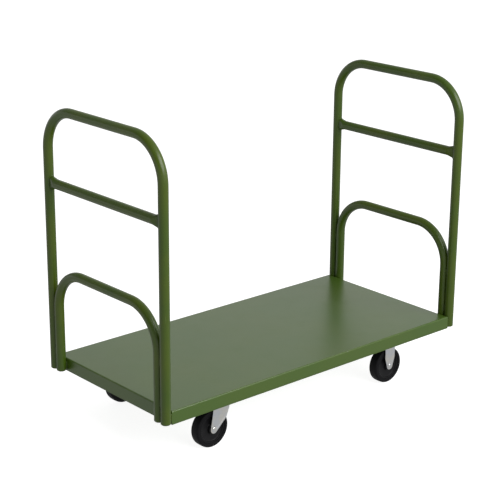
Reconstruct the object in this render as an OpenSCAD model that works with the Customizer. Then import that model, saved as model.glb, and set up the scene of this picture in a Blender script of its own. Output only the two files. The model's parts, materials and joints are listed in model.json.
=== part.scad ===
// Rigid platform cart: a folded sheet deck on two swivel and two fixed casters,
// with a welded tube handle and a low guard hoop at each end.
// Origin: on the floor under the middle of the deck. +X is the front (fixed casters),
// -X the rear (swivel casters), +Y the left side, +Z up. Millimetres.

/* [Deck] */
// Length of the deck over its end skirts
deck_l = 1250; // [1000:10:1600]
// Width of the deck over its side skirts
deck_w = 605; // [500:5:900]
// Depth of the turned-down skirts
skirt_h = 44; // [34:1:70]
// Thickness of the deck sheet
sheet_t = 2.5; // [1.5:0.5:4]
// Outside radius of the bend between deck and skirt
bend_r = 5; // [4:0.5:10]

/* [Handles] */
// Outside diameter of every handle tube
tube_d = 32; // [25:1:40]
// Wall of every handle tube
tube_wall = 2; // [1.5:0.5:4]
// Top of the handles above the floor
handle_h = 1054; // [950:2:1250]
// Radius of the tube bends, on the tube's centreline
tube_bend_r = 132; // [90:2:160]
// Centreline of the handle legs in from the deck's side
leg_inset = 10; // [4:1:60]
// Centreline of the crossbar below the top of the handle
crossbar_drop = 257; // [230:1:340]
// Height of the crossbar's flattened ends
crossbar_end_h = 43; // [34:1:48]
// Thickness of the crossbar's flattened ends
crossbar_end_t = 18; // [12:1:30]
// Length over which each crossbar end flattens
crossbar_flare_l = 44; // [20:1:80]
// Top of the guard hoops above the floor
hoop_h = 531; // [400:1:640]
// Lower end of the legs above the skirt's lower edge
leg_end_gap = 6; // [0:1:20]

/* [Frame] */
// Edge of each caster channel beyond the caster plates, at each side
channel_edge = 3.5; // [0:0.5:20]
// Sheet thickness of the channels and the rib
channel_t = 3; // [2:0.5:5]
// Width of the rib under the middle of the deck
rib_w = 60; // [40:2:120]
// Depth of the rib under the middle of the deck
rib_h = 28; // [15:1:31]

/* [Casters] */
// Height of a caster above the top of its wheel
caster_head_h = 32; // [29:1:60]
// Distance from the deck's end to the caster plates' centre
caster_inset_x = 241; // [150:1:300]
// Distance from the deck's side to the casters' centre
caster_inset_y = 73; // [60:1:140]
// Length of the caster plates along the cart
plate_l = 105; // [100:1:140]
// Width of the caster plates
plate_w = 85; // [84:1:100]
// Thickness of the caster plates
plate_t = 3; // [2.5:0.5:5]
// Bolt centres in from the plate's front and rear edges
bolt_edge_x = 10; // [8:0.5:11]
// Bolt centres in from the plate's side edges
bolt_edge_y = 11.5; // [9:0.5:12]
// Distance from a swivel axis back to its axle
trail = 34; // [26:1:40]

/* [Wheels] */
// Diameter of the wheels
wheel_d = 127; // [105:1:155]
// Width of the tyres
tyre_w = 36; // [30:1:44]
// Thickness of the rubber on the rim
tyre_t = 15; // [8:1:20]
// Radius of the tyre's rounded shoulders
shoulder_r = 7; // [3:0.5:9]
// Diameter of the axle bolts
axle_d = 10; // [8:1:12]
// Outside diameter of the sleeve that the rollers turn on
sleeve_d = 16; // [15:0.5:20]
// Diameter of the wheel bearing rollers
roller_d = 3; // [2:0.5:4]
// Outside diameter of the wheel hub
hub_d = 34; // [32:1:40]
// How far the hub stands out beyond the tyre, at each side
hub_side = 3; // [2:0.5:5]

/* [Forks] */
// Sheet thickness of the forks
fork_t = 3; // [2.5:0.5:4]
// Width of a swivel fork's crown along the cart
crown_l = 66; // [56:1:70]
// Width of a fixed fork's legs along the cart
fixed_leg_l = 46; // [40:1:60]
// Radius of the forks' ends around the axle
boss_r = 13.5; // [12:0.5:16]
// Diameter of the swivel's kingpin
kingpin_d = 12; // [10:1:14]
// Diameter of the swivel's balls
ball_d = 6; // [5:0.5:7]
// Radius of the circle the swivel's balls run on
ball_circle_r = 20; // [18:0.5:21]

/* [Hidden] */
$fn = 64;

eps = 0.5;              // how far a cutter runs past the face it opens
run_gap = 0.05;         // radial clearance of a running fit
hole_gap = 0.5;         // radial clearance of a bolt in its hole
fit_gap = 0.3;          // free gap between pieces that only lie close
AXLE_ALONG_Y = [90, 0, 0];

// Heights that the layers of the frame give
caster_h = wheel_d + caster_head_h;
skirt_bottom = caster_h;
deck_top = caster_h + skirt_h;
deck_under = deck_top - sheet_t;
channel_h = skirt_h - sheet_t;

// Handle geometry
tube_r = tube_d / 2;
tube_bore_r = tube_r - tube_wall;
handle_x = deck_l / 2 + tube_r;
leg_y = deck_w / 2 - leg_inset;
leg_end = skirt_bottom + leg_end_gap;
hoop_leg_y = leg_y - tube_d - 0.2;
bar_axis_h = handle_h - tube_r;
crossbar_h = handle_h - crossbar_drop;
hoop_axis_h = hoop_h - tube_r;
slice_t = 0.4;
flare_swell = 0.4;
plug_head_t = 2.5;
plug_stem_l = 18;

// Caster places
caster_x = deck_l / 2 - caster_inset_x;
caster_y = deck_w / 2 - caster_inset_y;
channel_w = plate_l + 2 * channel_edge;
bolt_span_x = plate_l - 2 * bolt_edge_x;
bolt_span_y = plate_w - 2 * bolt_edge_y;
wheel_r = wheel_d / 2;
axle_r = axle_d / 2;
sleeve_r = sleeve_d / 2;
bolt_d = 8;
bolt_head_h = 5.3;
bolt_head_af = 13;
bolt_washer_t = 1.6;
bolt_nut_h = 6.5;

// Wheel hub, from the axle outwards
rim_r = wheel_r - tyre_t;
rim_w = tyre_w - 6;
hub_w = tyre_w + 2 * hub_side;
roller_circle_r = sleeve_r + run_gap + roller_d / 2;
hub_bore_r = sleeve_r + roller_d + 2 * run_gap;
roller_l = hub_w - 8;
roller_count = 12;
web_t = rim_w - 10;

// Fork section
fork_gap = hub_w + 1;
fork_half = fork_gap / 2 + fork_t;
crown_under = caster_h - 15;
crown_top = crown_under + fork_t;
fork_bend_r = 5;
fixed_knee_h = 31;
press_depth = 1;
press_margin = 5.5;
axle_nut_h = 6.5;
axle_nut_af = 16;
axle_head_h = 2.5;
axle_head_r = axle_r + 4;

// Swivel bearing, between the plate and the crown
plate_under = caster_h - plate_t;
ball_z = (crown_top + plate_under) / 2;
race_inner_r = ball_circle_r - 5;
race_outer_r = ball_circle_r + 5;
race_gap = 0.5;
crown_disc_r = race_outer_r + 3;
groove_r = ball_d / 2 + run_gap;
ball_count = 14;
kingpin_r = kingpin_d / 2;
kingpin_head_r = kingpin_r + plate_t + 1;
kingpin_nut_h = 9;
kingpin_nut_af = 19;

// A bar with a hexagonal section, by its width across flats
module hex_bar(flats, h) {
    cylinder(d = flats / cos(30), h = h, $fn = 6);
}

// A rectangle in X and Y with its middle at the origin and round corners
module round_rect(size_x, size_y, corner_r) {
    for (sx = [-1, 1], sy = [-1, 1])
        translate([sx * (size_x / 2 - corner_r), sy * (size_y / 2 - corner_r)])
            circle(r = corner_r);
    square([size_x - 2 * corner_r, size_y], center = true);
    square([size_x, size_y - 2 * corner_r], center = true);
}

// The outline of a tray seen end on: square below, rounded at its two top corners
module tray_outline(width, height, corner_r) {
    translate([-width / 2, 0])
        square([width, height - corner_r]);
    translate([-width / 2 + corner_r, 0])
        square([width - 2 * corner_r, height]);
    for (side = [-1, 1])
        translate([side * (width / 2 - corner_r), height - corner_r])
            circle(r = corner_r);
}

// A closed block with rounded top edges all the way round, its base at z = 0
module tray_block(length, width, height, corner_r) {
    intersection() {
        rotate([90, 0, 0])
            translate([0, 0, -width / 2])
                linear_extrude(height = width)
                    tray_outline(length, height, corner_r);
        rotate([90, 0, 90])
            translate([0, 0, -length / 2])
                linear_extrude(height = length)
                    tray_outline(width, height, corner_r);
    }
}

module deck_plate() {
    color("darkolivegreen")
        difference() {
            translate([0, 0, skirt_bottom])
                tray_block(deck_l, deck_w, skirt_h, bend_r);
            translate([0, 0, skirt_bottom - eps])
                tray_block(deck_l - 2 * sheet_t, deck_w - 2 * sheet_t,
                           skirt_h - sheet_t + eps, bend_r - sheet_t);
        }
}

// The four bolt places of one caster plate
module at_plate_bolts(x, y) {
    for (sx = [-1, 1], sy = [-1, 1])
        translate([x + sx * bolt_span_x / 2, y + sy * bolt_span_y / 2, 0])
            children();
}

// Every bolt place of the cart
module at_all_bolts() {
    for (end = [-1, 1], side = [-1, 1])
        at_plate_bolts(end * caster_x, side * caster_y)
            children();
}

// A channel across the cart, open side up against the deck, at end -1 or 1
module caster_channel(end) {
    channel_l = deck_w - 2 * bend_r - 2 * fit_gap;
    color("darkolivegreen")
        difference() {
            translate([end * caster_x - channel_w / 2, -channel_l / 2, skirt_bottom])
                cube([channel_w, channel_l, channel_h]);
            translate([end * caster_x - channel_w / 2 + channel_t, -channel_l / 2 - eps,
                       skirt_bottom + channel_t])
                cube([channel_w - 2 * channel_t, channel_l + 2 * eps, channel_h]);
            for (side = [-1, 1])
                at_plate_bolts(end * caster_x, side * caster_y)
                    translate([0, 0, skirt_bottom - eps])
                        cylinder(r = bolt_d / 2 + hole_gap, h = channel_t + 2 * eps);
        }
}

module rear_caster_channel() {
    caster_channel(-1);
}

module front_caster_channel() {
    caster_channel(1);
}

// A channel along the middle of the deck, between the two caster channels
module centre_rib() {
    rib_l = 2 * caster_x - channel_w;
    color("darkolivegreen")
        difference() {
            translate([-rib_l / 2, -rib_w / 2, deck_under - rib_h])
                cube([rib_l, rib_w, rib_h]);
            translate([-rib_l / 2 - eps, -rib_w / 2 + channel_t, deck_under - rib_h + channel_t])
                cube([rib_l + 2 * eps, rib_w - 2 * channel_t, rib_h]);
        }
}

// A solid bar bent into an upside-down U: two legs, two bends and a top
module bent_bar(r, y, bottom, axis_top, bottom_extra = 0) {
    straight_top = axis_top - tube_bend_r;
    bend_y = y - tube_bend_r;
    for (side = [-1, 1]) {
        translate([0, side * y, bottom - bottom_extra])
            cylinder(r = r, h = straight_top - bottom + bottom_extra);
        translate([0, side * bend_y, straight_top])
            rotate([90, 0, side * 90])
                rotate_extrude(angle = 90)
                    translate([tube_bend_r, 0])
                        circle(r = r);
    }
    translate([0, -bend_y, axis_top])
        rotate([-90, 0, 0])
            cylinder(r = r, h = 2 * bend_y);
}

// A tube bent the same way, open at its two lower ends
module bent_tube(end, y, axis_top) {
    color("olivedrab")
        translate([end * handle_x, 0, 0])
            difference() {
                bent_bar(tube_r, y, leg_end, axis_top);
                bent_bar(tube_bore_r, y, leg_end, axis_top, eps);
            }
}

module rear_handle_tube() {
    bent_tube(-1, leg_y, bar_axis_h);
}

module front_handle_tube() {
    bent_tube(1, leg_y, bar_axis_h);
}

module rear_guard_hoop() {
    bent_tube(-1, hoop_leg_y, hoop_axis_h);
}

module front_guard_hoop() {
    bent_tube(1, hoop_leg_y, hoop_axis_h);
}

// A thin slice of the crossbar, its two round edges given their own spread
module bar_slice(thick, high) {
    rotate([90, 0, 0])
        linear_extrude(height = slice_t, center = true)
            for (side = [-1, 1])
                translate([0, side * (high - thick) / 2])
                    circle(d = thick, $fn = 32);
}

// The crossbar as a solid bar, shrunk all round by the given amount
module crossbar_body(shrink, overrun) {
    straight_y = leg_y - crossbar_flare_l;
    end_y = leg_y - tube_r - slice_t / 2 + overrun;
    translate([0, -straight_y, 0])
        rotate([-90, 0, 0])
            cylinder(r = tube_r - shrink, h = 2 * straight_y);
    for (side = [-1, 1])
        hull() {
            translate([0, side * (straight_y - slice_t / 2), 0])
                bar_slice(tube_d + flare_swell - 2 * shrink, tube_d + flare_swell - 2 * shrink);
            translate([0, side * end_y, 0])
                bar_slice(crossbar_end_t - 2 * shrink, crossbar_end_h - 2 * shrink);
        }
}

// The tube between the handle legs, flattened at its two ends
module crossbar(end) {
    color("olivedrab")
        translate([end * handle_x, 0, crossbar_h])
            difference() {
                crossbar_body(0, 0);
                crossbar_body(tube_wall, slice_t);
            }
}

module rear_crossbar() {
    crossbar(-1);
}

module front_crossbar() {
    crossbar(1);
}

// One plug: a low domed head under the tube and a stem up inside it
module tube_plug() {
    translate([0, 0, leg_end - plug_head_t])
        cylinder(r1 = tube_r - 2.5, r2 = tube_r - 0.5, h = plug_head_t);
    translate([0, 0, leg_end])
        cylinder(r = tube_bore_r - 0.1, h = plug_stem_l);
}

module tube_plugs(end) {
    color("dimgray")
        for (y = [-leg_y, -hoop_leg_y, hoop_leg_y, leg_y])
            translate([end * handle_x, y, 0])
                tube_plug();
}

module rear_tube_plugs() {
    tube_plugs(-1);
}

module front_tube_plugs() {
    tube_plugs(1);
}

module caster_bolts() {
    head_top = plate_under - bolt_washer_t;
    shank_l = bolt_washer_t + plate_t + channel_t + bolt_nut_h + 3;
    color("silver")
        at_all_bolts() {
            translate([0, 0, head_top - bolt_head_h])
                hex_bar(bolt_head_af, bolt_head_h);
            translate([0, 0, head_top - 0.01])
                cylinder(d = bolt_d, h = shank_l);
        }
}

module caster_washers() {
    color("silver")
        at_all_bolts()
            translate([0, 0, plate_under - bolt_washer_t])
                difference() {
                    cylinder(r = bolt_d, h = bolt_washer_t);
                    translate([0, 0, -eps])
                        cylinder(r = bolt_d / 2 + run_gap, h = bolt_washer_t + 2 * eps);
                }
}

module caster_nuts() {
    color("silver")
        at_all_bolts()
            translate([0, 0, skirt_bottom + channel_t])
                difference() {
                    hex_bar(bolt_head_af, bolt_nut_h);
                    translate([0, 0, -eps])
                        cylinder(r = bolt_d / 2 + run_gap, h = bolt_nut_h + 2 * eps);
                }
}

// Everything of a wheel is drawn about its axle and moved to its place here
module at_axle(x, y) {
    translate([x, y, wheel_r])
        rotate(AXLE_ALONG_Y)
            children();
}

module tyre(x, y) {
    color("#1c1c1e")
        at_axle(x, y)
            rotate_extrude()
                difference() {
                    translate([rim_r + tyre_t / 2 - shoulder_r, 0])
                        round_rect(tyre_t + 2 * shoulder_r, tyre_w, shoulder_r);
                    translate([0, -tyre_w])
                        square([rim_r, 2 * tyre_w]);
                }
}

// The moulded wheel centre: rim band, a plain thick web and hub
module rim(x, y) {
    band_t = 5;
    color("#2a2a2c")
        at_axle(x, y)
            difference() {
                union() {
                    difference() {
                        cylinder(r = rim_r, h = rim_w, center = true);
                        cylinder(r = rim_r - band_t, h = rim_w + 2, center = true);
                    }
                    cylinder(r = rim_r - band_t / 2, h = web_t, center = true);
                    cylinder(d = hub_d, h = hub_w, center = true);
                }
                cylinder(r = hub_bore_r, h = hub_w + 2, center = true);
            }
}

// A cage with a ring of rollers in its pockets, turning on the axle sleeve
module rollers(x, y) {
    cage_half = 0.8;
    cage_l = roller_l + 3;
    color("darkgray")
        at_axle(x, y) {
            difference() {
                cylinder(r = roller_circle_r + cage_half, h = cage_l, center = true);
                cylinder(r = roller_circle_r - cage_half, h = cage_l + 2, center = true);
                for (i = [0 : roller_count - 1])
                    rotate([0, 0, i * 360 / roller_count])
                        translate([roller_circle_r, 0, 0])
                            cylinder(r = roller_d / 2 + 0.1, h = roller_l + 0.4, center = true);
            }
            for (i = [0 : roller_count - 1])
                rotate([0, 0, i * 360 / roller_count])
                    translate([roller_circle_r, 0, 0])
                        cylinder(d = roller_d, h = roller_l, center = true);
        }
}

module axle_sleeve(x, y) {
    color("silver")
        at_axle(x, y)
            difference() {
                cylinder(r = sleeve_r, h = fork_gap, center = true);
                cylinder(r = axle_r + run_gap, h = fork_gap + 2, center = true);
            }
}

// Axle bolt with a low round head on the right leg, its thread end outside the left leg
module axle_bolt(x, y) {
    color("silver")
        at_axle(x, y) {
            translate([0, 0, fork_half])
                cylinder(r1 = axle_head_r, r2 = axle_head_r - axle_head_h, h = axle_head_h);
            translate([0, 0, -fork_half - axle_nut_h - 3])
                cylinder(r = axle_r, h = 2 * fork_half + axle_nut_h + 3.01);
        }
}

module axle_nut(x, y) {
    color("silver")
        at_axle(x, y)
            translate([0, 0, -fork_half - axle_nut_h])
                difference() {
                    hex_bar(axle_nut_af, axle_nut_h);
                    translate([0, 0, -eps])
                        cylinder(r = axle_r + run_gap, h = axle_nut_h + 2 * eps);
                }
}

// Bearing, from the origin, of the point where a line from p touches a circle
// of radius r about the origin. side is 1 or -1 for the two such points.
function tangent_bearing(p, r, side) = atan2(p[1], p[0]) + side * acos(r / norm(p));

// A fork leg seen from the side, in X and Z about the axle: a round end that
// widens along two straight edges up to the points given from rear to front
module leg_outline(points, end_r) {
    steps = 20;
    start = tangent_bearing(points[0], end_r, 1);
    stop = tangent_bearing(points[len(points) - 1], end_r, -1) + 360;
    polygon(concat(points, [
        for (i = [steps : -1 : 0])
            let (bearing = start + (stop - start) * i / steps)
            [end_r * cos(bearing), end_r * sin(bearing)]
    ]));
}

// A fork pressed from one sheet: a U section cut to the outline of its legs
module pressed_fork(outline_top) {
    intersection() {
        rotate([90, 0, 90])
            translate([0, 0, -200])
                linear_extrude(height = 400)
                    difference() {
                        translate([0, -200])
                            tray_outline(2 * fork_half, outline_top + 200, fork_bend_r);
                        translate([0, -201])
                            tray_outline(fork_gap, outline_top + 201 - fork_t,
                                         fork_bend_r - fork_t);
                    }
        rotate([90, 0, 0])
            translate([0, 0, -fork_half - 1])
                linear_extrude(height = 2 * fork_half + 2)
                    children(0);
    }
}

// The shallow pressed panel in the outside of both legs
module press_panels() {
    for (side = [-1, 1])
        translate([0, side * (fork_half - press_depth / 2), 0])
            rotate([90, 0, 0])
                linear_extrude(height = press_depth + 0.02, center = true)
                    children(0);
}

// The swivel fork's leg, from the rear of the crown round to its front
module swivel_leg_outline(margin) {
    top = crown_top - wheel_r - margin * 2;
    knee_x = trail + 16 - margin * 0.8;
    leg_outline([
        [trail - crown_l / 2 + margin, top],
        [trail + crown_l / 2 - margin, top],
        [trail + crown_l / 2 - 5 - margin, top - 24 + margin * 0.5],
        [knee_x, 29 + margin * 0.9]
    ], boss_r - margin * 0.6);
}

// One swivel fork: legs, crown with its race ring and the kingpin hole
module swivel_fork(x, y) {
    color("lightgray")
        difference() {
            union() {
                translate([x - trail, y, wheel_r])
                    difference() {
                        pressed_fork(crown_top - wheel_r)
                            swivel_leg_outline(0);
                        press_panels()
                            swivel_leg_outline(press_margin);
                    }
                translate([x, y, crown_under])
                    cylinder(r = crown_disc_r, h = fork_t);
                translate([x, y, crown_under + fork_t / 2])
                    cylinder(r = race_outer_r, h = ball_z - race_gap - crown_under - fork_t / 2);
            }
            translate([x, y, crown_under - eps])
                cylinder(r = kingpin_r + run_gap, h = ball_z - crown_under + 2 * eps);
            translate([x, y, crown_top])
                cylinder(r = race_inner_r, h = ball_z - crown_top);
            translate([x, y, ball_z])
                rotate_extrude()
                    translate([ball_circle_r, 0])
                        circle(r = groove_r);
            at_axle(x - trail, y)
                cylinder(r = axle_r + run_gap, h = 2 * fork_half + 2, center = true);
        }
}

// The plate of a swivel caster with its bolt holes, race ring and kingpin seat
module top_plate(x, y) {
    color("lightgray")
        difference() {
            union() {
                translate([x, y, plate_under])
                    linear_extrude(height = plate_t)
                        round_rect(plate_l, plate_w, 8);
                translate([x, y, ball_z + race_gap])
                    cylinder(r = race_outer_r, h = plate_under + plate_t / 2 - ball_z - race_gap);
            }
            at_plate_bolts(x, y)
                translate([0, 0, plate_under - eps])
                    cylinder(r = bolt_d / 2 + hole_gap, h = plate_t + 2 * eps);
            translate([x, y, ball_z])
                cylinder(r = kingpin_r + run_gap, h = caster_h - ball_z + eps);
            translate([x, y, plate_under])
                cylinder(r1 = kingpin_head_r - plate_t + run_gap,
                         r2 = kingpin_head_r + run_gap, h = plate_t + 0.01);
            translate([x, y, ball_z])
                cylinder(r = race_inner_r, h = plate_under - ball_z - 2);
            translate([x, y, ball_z])
                rotate_extrude()
                    translate([ball_circle_r, 0])
                        circle(r = groove_r);
        }
}

// The pin the fork turns on, its flush head seated in the plate
module kingpin(x, y) {
    tip = crown_under - kingpin_nut_h - 3;
    color("silver")
        union() {
            translate([x, y, tip])
                cylinder(r = kingpin_r, h = caster_h - tip);
            translate([x, y, plate_under])
                cylinder(r1 = kingpin_head_r - plate_t, r2 = kingpin_head_r, h = plate_t);
        }
}

module kingpin_nut(x, y) {
    color("silver")
        translate([x, y, crown_under - fit_gap - kingpin_nut_h])
            difference() {
                hex_bar(kingpin_nut_af, kingpin_nut_h);
                translate([0, 0, -eps])
                    cylinder(r = kingpin_r + run_gap, h = kingpin_nut_h + 2 * eps);
            }
}

module swivel_balls(x, y) {
    color("silver")
        for (i = [0 : ball_count - 1])
            translate([x, y, ball_z])
                rotate([0, 0, i * 360 / ball_count])
                    translate([ball_circle_r, 0, 0])
                        sphere(d = ball_d, $fn = 32);
}

// The fixed fork's leg, upright with a round end
module fixed_leg_outline(margin) {
    top = plate_under + plate_t / 2 - wheel_r - margin * 2;
    half = fixed_leg_l / 2 - margin;
    leg_outline([
        [-half, fixed_knee_h + margin * 0.3],
        [-half, top],
        [half, top],
        [half, fixed_knee_h + margin * 0.3]
    ], boss_r - 0.5 - margin * 0.6);
}

// One fixed fork: legs pressed with their mounting plate
module fixed_fork(x, y) {
    color("lightgray")
        difference() {
            union() {
                translate([x, y, wheel_r])
                    difference() {
                        pressed_fork(plate_under + plate_t / 2 - wheel_r)
                            fixed_leg_outline(0);
                        press_panels()
                            fixed_leg_outline(press_margin);
                    }
                translate([x, y, plate_under])
                    linear_extrude(height = plate_t)
                        round_rect(plate_l, plate_w, 8);
            }
            at_plate_bolts(x, y)
                translate([0, 0, plate_under - eps])
                    cylinder(r = bolt_d / 2 + hole_gap, h = plate_t + 2 * eps);
            at_axle(x, y)
                cylinder(r = axle_r + run_gap, h = 2 * fork_half + 2, center = true);
        }
}

// Axle places: the swivel wheels trail behind their swivel axes
rear_axle_x = -caster_x - trail;

module rear_left_top_plate() {
    top_plate(-caster_x, caster_y);
}

module rear_right_top_plate() {
    top_plate(-caster_x, -caster_y);
}

module rear_left_kingpin() {
    kingpin(-caster_x, caster_y);
}

module rear_right_kingpin() {
    kingpin(-caster_x, -caster_y);
}

module rear_left_kingpin_nut() {
    kingpin_nut(-caster_x, caster_y);
}

module rear_right_kingpin_nut() {
    kingpin_nut(-caster_x, -caster_y);
}

module rear_left_swivel_balls() {
    swivel_balls(-caster_x, caster_y);
}

module rear_right_swivel_balls() {
    swivel_balls(-caster_x, -caster_y);
}

module rear_left_fork() {
    swivel_fork(-caster_x, caster_y);
}

module rear_right_fork() {
    swivel_fork(-caster_x, -caster_y);
}

module front_left_fork() {
    fixed_fork(caster_x, caster_y);
}

module front_right_fork() {
    fixed_fork(caster_x, -caster_y);
}

deck_plate();
rear_caster_channel();
front_caster_channel();
centre_rib();
rear_handle_tube();
rear_crossbar();
rear_guard_hoop();
rear_tube_plugs();
front_handle_tube();
front_crossbar();
front_guard_hoop();
front_tube_plugs();
caster_bolts();
caster_washers();
caster_nuts();
rear_left_top_plate();
rear_left_kingpin();
rear_left_kingpin_nut();
rear_left_swivel_balls();
rear_left_fork();
axle_bolt(rear_axle_x, caster_y);  // rear_left_axle_bolt
axle_nut(rear_axle_x, caster_y);  // rear_left_axle_nut
axle_sleeve(rear_axle_x, caster_y);  // rear_left_axle_sleeve
rim(rear_axle_x, caster_y);  // rear_left_rim
tyre(rear_axle_x, caster_y);  // rear_left_tyre
rollers(rear_axle_x, caster_y);  // rear_left_rollers
rear_right_top_plate();
rear_right_kingpin();
rear_right_kingpin_nut();
rear_right_swivel_balls();
rear_right_fork();
axle_bolt(rear_axle_x, -caster_y);  // rear_right_axle_bolt
axle_nut(rear_axle_x, -caster_y);  // rear_right_axle_nut
axle_sleeve(rear_axle_x, -caster_y);  // rear_right_axle_sleeve
rim(rear_axle_x, -caster_y);  // rear_right_rim
tyre(rear_axle_x, -caster_y);  // rear_right_tyre
rollers(rear_axle_x, -caster_y);  // rear_right_rollers
front_left_fork();
axle_bolt(caster_x, caster_y);  // front_left_axle_bolt
axle_nut(caster_x, caster_y);  // front_left_axle_nut
axle_sleeve(caster_x, caster_y);  // front_left_axle_sleeve
rim(caster_x, caster_y);  // front_left_rim
tyre(caster_x, caster_y);  // front_left_tyre
rollers(caster_x, caster_y);  // front_left_rollers
front_right_fork();
axle_bolt(caster_x, -caster_y);  // front_right_axle_bolt
axle_nut(caster_x, -caster_y);  // front_right_axle_nut
axle_sleeve(caster_x, -caster_y);  // front_right_axle_sleeve
rim(caster_x, -caster_y);  // front_right_rim
tyre(caster_x, -caster_y);  // front_right_tyre
rollers(caster_x, -caster_y);  // front_right_rollers
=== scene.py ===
# %% [markdown]
# # A platform cart with a tube handle at each end
#
# The cart is a folded steel deck on four casters. A tall tube handle with a crossbar
# stands at each end, and a lower guard hoop stands inside it. The frame that is loaded
# first is the mechanical model: every place and size below is measured from it.

# %% Load the frame
import json
import math
import random

import bpy
import bmesh
from mathutils import Matrix, Vector


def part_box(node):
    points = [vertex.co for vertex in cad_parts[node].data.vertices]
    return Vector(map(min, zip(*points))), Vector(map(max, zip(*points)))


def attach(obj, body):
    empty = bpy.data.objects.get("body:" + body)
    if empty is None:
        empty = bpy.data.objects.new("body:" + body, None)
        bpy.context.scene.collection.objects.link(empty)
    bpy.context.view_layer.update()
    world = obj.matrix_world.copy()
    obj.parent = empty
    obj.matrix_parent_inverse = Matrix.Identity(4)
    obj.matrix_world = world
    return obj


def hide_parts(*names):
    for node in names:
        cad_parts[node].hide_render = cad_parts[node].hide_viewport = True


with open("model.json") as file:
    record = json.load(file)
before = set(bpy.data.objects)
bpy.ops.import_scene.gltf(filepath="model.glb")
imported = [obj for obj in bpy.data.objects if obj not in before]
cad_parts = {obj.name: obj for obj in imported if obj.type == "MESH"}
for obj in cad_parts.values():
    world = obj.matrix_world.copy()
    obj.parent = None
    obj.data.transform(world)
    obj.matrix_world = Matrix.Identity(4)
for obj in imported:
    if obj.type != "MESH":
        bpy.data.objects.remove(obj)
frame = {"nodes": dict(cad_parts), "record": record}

MM = 0.001
scene = bpy.context.scene
nodes = frame["nodes"]
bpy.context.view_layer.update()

# %% [markdown]
# ## Sizes, read from the frame
#
# A piece that is added later has to meet its neighbours exactly. Typing the numbers
# again would work until the mechanical model changes, so they are taken from the boxes
# of its nodes instead.

# %% Measure the deck, the tubes and the wheels
deck_low, deck_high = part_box("deck_plate")
tube_low, tube_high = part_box("front_handle_tube")
hoop_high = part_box("front_guard_hoop")[1]
bar_low, bar_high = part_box("front_crossbar")
plate_low, plate_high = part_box("rear_left_top_plate")

sheet_t = 2.5 * MM
bend_r = 5 * MM
tube_r = (tube_high.x - tube_low.x) / 2
handle_x = (tube_high.x + tube_low.x) / 2
leg_y = tube_high.y - tube_r
hoop_leg_y = hoop_high.y - tube_r
leg_end = tube_low.z
crossbar_z = (bar_high.z + bar_low.z) / 2
bar_end_h = bar_high.z - bar_low.z
bar_end_t = 18 * MM
bar_flare_l = 44 * MM
print(f"tubes {2 * tube_r / MM:.1f} mm across, legs at y = {leg_y / MM:.1f} mm")

WHEELS = ("rear_left", "rear_right", "front_left", "front_right")


def middle(node):
    """The middle of a node's box."""
    low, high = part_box(node)
    return (low + high) / 2


axle = {wheel: middle(wheel + "_tyre") for wheel in WHEELS}
tyre_low, tyre_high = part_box("front_left_tyre")
wheel_r = (tyre_high.z - tyre_low.z) / 2
print(f"wheels {2 * wheel_r / MM:.0f} mm, deck top at {deck_high.z / MM:.0f} mm")

# %% [markdown]
# ## A helper that builds skins
#
# Nearly every piece here is a skin over a row of rings: a tube, a bolt, a tyre or a
# weld bead. A curve with a bevel could make some of them, but a small class that
# collects rings gives exact control of each edge, and many small solids can become
# one piece.


# %% Collect rings and turn them into a piece
class Shape:
    """Points and faces gathered from several skins before they become one piece."""

    def __init__(self):
        self.points = []
        self.faces = []

    def skin(self, rings, loop=False):
        """Faces between each ring and the next; loop joins the last ring to the first."""
        start = len(self.points)
        count = len(rings[0])
        for ring in rings:
            self.points.extend(ring)
        for i in range(len(rings) if loop else len(rings) - 1):
            here = start + i * count
            there = start + ((i + 1) % len(rings)) * count
            for j in range(count):
                k = (j + 1) % count
                self.faces.append((here + j, here + k, there + k, there + j))
        if not loop:
            last = start + (len(rings) - 1) * count
            self.faces.append(tuple(range(start + count - 1, start - 1, -1)))
            self.faces.append(tuple(range(last, last + count)))

    def piece(self, name, finish, body, slot, sharp=38):
        """The gathered skins as one named object that rides on a body."""
        mesh = bpy.data.meshes.new(name)
        mesh.from_pydata([tuple(p) for p in self.points], [], self.faces)
        tidy = bmesh.new()
        tidy.from_mesh(mesh)
        bmesh.ops.recalc_face_normals(tidy, faces=tidy.faces)
        tidy.to_mesh(mesh)
        tidy.free()
        mesh.shade_smooth()
        mesh.set_sharp_from_angle(angle=math.radians(sharp))
        mesh.materials.append(finish)
        made = bpy.data.objects.new(name, mesh)
        scene.collection.objects.link(made)
        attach(made, body)
        print(f"{name}: {len(mesh.vertices)} points on {body}")
        return made


def eased(t):
    """0 to 1 with a soft start and a soft end."""
    t = min(max(t, 0), 1)
    return t * t * (3 - 2 * t)


def between(a, b, t):
    return a + (b - a) * t


def circle(r, count, turn=0):
    """Pairs round a circle."""
    steps = [turn + 2 * math.pi * k / count for k in range(count)]
    return [(r * math.cos(a), r * math.sin(a)) for a in steps]


def turned(profile, centre, axis, count):
    """Rings for a profile of (radius, height) pairs turned about an axis, "y" or "z"."""
    rings = []
    for r, h in profile:
        if axis == "z":
            rings.append([centre + Vector((a, b, h)) for a, b in circle(r, count)])
        else:
            rings.append([centre + Vector((a, h, b)) for a, b in circle(r, count)])
    return rings


# %% [markdown]
# ## A helper for finishes
#
# A finish is a small network of nodes. Written out socket by socket it is hard to read,
# so one class wraps a socket and gives it ordinary arithmetic. 1 - mask then adds a
# Subtract node by itself, and a finish reads like a recipe.


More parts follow.
